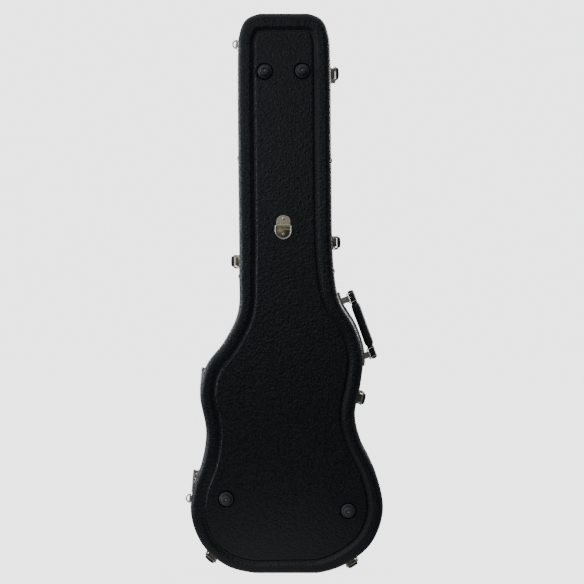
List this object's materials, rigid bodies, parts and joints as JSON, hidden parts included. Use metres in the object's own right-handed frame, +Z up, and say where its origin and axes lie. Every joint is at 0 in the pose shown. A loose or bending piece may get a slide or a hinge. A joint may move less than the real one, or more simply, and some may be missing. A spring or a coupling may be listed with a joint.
{
  "type": "guitar case",
  "caption": "Hard-shell case shaped to an offset-body electric guitar, with draw latches, swinging handle, hinged lid, padded pockets and domed feet on its back.",
  "frame": {"origin": "on the floor under the flat bottom end, on the back shell's bottom face, midway between the feet's tips and the lid's front face", "axes": "+Z up along the case from its body end to its head end, +Y out of the lid's front, -Y out of the back with the feet, +X towards the handle side (right when seen from the back)"},
  "size_m": [0.374, 0.124, 1.051],
  "materials": {
    "shell_black": "pebble-grained black moulded skin",
    "rim_aluminium": "satin extruded edge",
    "plush_black": "short black plush over foam",
    "ribbon": "woven ribbon",
    "foot_black": "satin moulded",
    "grip_black": "smooth moulded, slightly glossy",
    "nickel": "warm nickel plate",
    "steel": "plain steel"
  },
  "bodies": {
    "case": {"back_shell": "shell_black", "back_rim": "rim_aluminium", "body_lining": "plush_black", "head_lining": "plush_black", "neck_cradle": "plush_black", "compartment_box": "plush_black", "compartment_hinge_pin": "steel", "foot_head_left": "foot_black", "foot_head_right": "foot_black", "foot_body_left": "foot_black", "foot_body_right": "foot_black", "foot_screws": "steel", "hinge_back_leaf_upper": "nickel", "hinge_back_leaf_lower": "nickel", "hinge_pin_upper": "steel", "hinge_pin_lower": "steel", "latch_bases": "nickel", "latch_pivots": "steel", "handle_plate": "nickel", "strap_bracket": "nickel", "side_bracket_head": "nickel", "side_bracket_body": "nickel", "side_plugs": "foot_black", "case_rivets": "nickel"},
    "lid": {"lid_shell": "shell_black", "lid_rim": "rim_aluminium", "lid_lining": "plush_black", "hinge_lid_leaf_upper": "nickel", "hinge_lid_leaf_lower": "nickel", "latch_catches": "nickel", "lid_rivets": "nickel"},
    "compartment_flap": {"compartment_lid": "plush_black", "compartment_tab": "ribbon"},
    "lever_1": {"latch_lever_1": "nickel", "latch_grip_1": "grip_black"},
    "loop_1": {"latch_loop_1": "nickel"},
    "lever_2": {"latch_lever_2": "nickel", "latch_grip_2": "grip_black"},
    "loop_2": {"latch_loop_2": "nickel"},
    "lever_3": {"latch_lever_3": "nickel", "latch_grip_3": "grip_black"},
    "loop_3": {"latch_loop_3": "nickel"},
    "lever_4": {"latch_lever_4": "nickel", "latch_grip_4": "grip_black"},
    "loop_4": {"latch_loop_4": "nickel"},
    "lever_5": {"latch_lever_5": "nickel", "latch_grip_5": "grip_black"},
    "loop_5": {"latch_loop_5": "nickel"},
    "lever_6": {"latch_lever_6": "nickel", "latch_grip_6": "grip_black"},
    "loop_6": {"latch_loop_6": "nickel"},
    "handle": {"handle_grip": "grip_black", "handle_ring_upper": "nickel", "handle_ring_lower": "nickel"},
    "strap_d": {"strap_ring": "nickel"},
    "side_d_head": {"side_ring_head": "nickel"},
    "side_d_body": {"side_ring_body": "nickel"}
  },
  "joints": [
    {"name": "lid_swing", "type": "hinge", "parent": "case", "child": "lid", "pos_m": [-0.17311, 0.02, 0.24025], "axis": [0.0802, 0, 0.9968], "range_deg": [0, 110]},
    {"name": "compartment_flap_swing", "type": "hinge", "parent": "case", "child": "compartment_flap", "pos_m": [0, 0.002, 0.759], "axis": [1, 0, 0], "range_deg": [0, 90]},
    {"name": "latch_lever_1_swing", "type": "hinge", "parent": "case", "child": "lever_1", "pos_m": [0.09175, 0.007, 0.94313], "axis": [-0.0169, 0, 0.9999], "range_deg": [0, 100]},
    {"name": "latch_loop_1_swing", "type": "hinge", "parent": "lever_1", "child": "loop_1", "pos_m": [0.08855, -0.0005, 0.94308], "axis": [-0.0169, 0, 0.9999], "range_deg": [-90, 0]},
    {"name": "latch_lever_2_swing", "type": "hinge", "parent": "case", "child": "lever_2", "pos_m": [0.09486, 0.007, 0.62224], "axis": [-0.0298, 0, 0.9996], "range_deg": [0, 100]},
    {"name": "latch_loop_2_swing", "type": "hinge", "parent": "lever_2", "child": "loop_2", "pos_m": [0.09166, -0.0005, 0.62214], "axis": [-0.0298, 0, 0.9996], "range_deg": [-90, 0]},
    {"name": "latch_lever_3_swing", "type": "hinge", "parent": "case", "child": "lever_3", "pos_m": [0.14195, 0.007, 0.32609], "axis": [0.2387, 0, 0.9711], "range_deg": [0, 100]},
    {"name": "latch_loop_3_swing", "type": "hinge", "parent": "lever_3", "child": "loop_3", "pos_m": [0.13885, -0.0005, 0.32685], "axis": [0.2387, 0, 0.9711], "range_deg": [-90, 0]},
    {"name": "latch_lever_4_swing", "type": "hinge", "parent": "case", "child": "lever_4", "pos_m": [0.12405, 0.007, 0.01462], "axis": [0.8597, 0, 0.5108], "range_deg": [0, 100]},
    {"name": "latch_loop_4_swing", "type": "hinge", "parent": "lever_4", "child": "loop_4", "pos_m": [0.12241, -0.0005, 0.01737], "axis": [0.8597, 0, 0.5108], "range_deg": [-90, 0]},
    {"name": "latch_lever_5_swing", "type": "hinge", "parent": "case", "child": "lever_5", "pos_m": [-0.0964, 0.007, 0.58601], "axis": [-0.0011, 0, -1], "range_deg": [0, 100]},
    {"name": "latch_loop_5_swing", "type": "hinge", "parent": "lever_5", "child": "loop_5", "pos_m": [-0.0932, -0.0005, 0.58601], "axis": [-0.0011, 0, -1], "range_deg": [-90, 0]},
    {"name": "latch_lever_6_swing", "type": "hinge", "parent": "case", "child": "lever_6", "pos_m": [-0.14196, 0.007, 0.02494], "axis": [0.7573, 0, -0.653], "range_deg": [0, 100]},
    {"name": "latch_loop_6_swing", "type": "hinge", "parent": "lever_6", "child": "loop_6", "pos_m": [-0.13987, -0.0005, 0.02737], "axis": [0.7573, 0, -0.653], "range_deg": [-90, 0]},
    {"name": "handle_swing", "type": "hinge", "parent": "case", "child": "handle", "pos_m": [0.1376, -0.004, 0.4615], "axis": [0.342, 0, -0.9397], "range_deg": [0, 144]},
    {"name": "strap_ring_swing", "type": "hinge", "parent": "case", "child": "strap_d", "pos_m": [-0.005, -0.0524, 0.652], "axis": [-1, 0, 0], "range_deg": [0, 165]},
    {"name": "side_ring_head_swing", "type": "hinge", "parent": "case", "child": "side_d_head", "pos_m": [-0.09427, -0.007, 1.00042], "axis": [-0.1049, 0, -0.9945], "range_deg": [-75, 75]},
    {"name": "side_ring_body_swing", "type": "hinge", "parent": "case", "child": "side_d_body", "pos_m": [-0.18291, -0.007, 0.13436], "axis": [-0.0906, 0, -0.9959], "range_deg": [-75, 75]}
  ],
  "couplings": [
    {"joint": "compartment_flap_swing", "follows": "lid_swing", "ratio": 0.8},
    {"joint": "latch_loop_1_swing", "follows": "latch_lever_1_swing", "ratio": -0.85},
    {"joint": "latch_loop_2_swing", "follows": "latch_lever_2_swing", "ratio": -0.85},
    {"joint": "latch_loop_3_swing", "follows": "latch_lever_3_swing", "ratio": -0.85},
    {"joint": "latch_loop_4_swing", "follows": "latch_lever_4_swing", "ratio": -0.85},
    {"joint": "latch_loop_5_swing", "follows": "latch_lever_5_swing", "ratio": -0.85},
    {"joint": "latch_loop_6_swing", "follows": "latch_lever_6_swing", "ratio": -0.85}
  ]
}
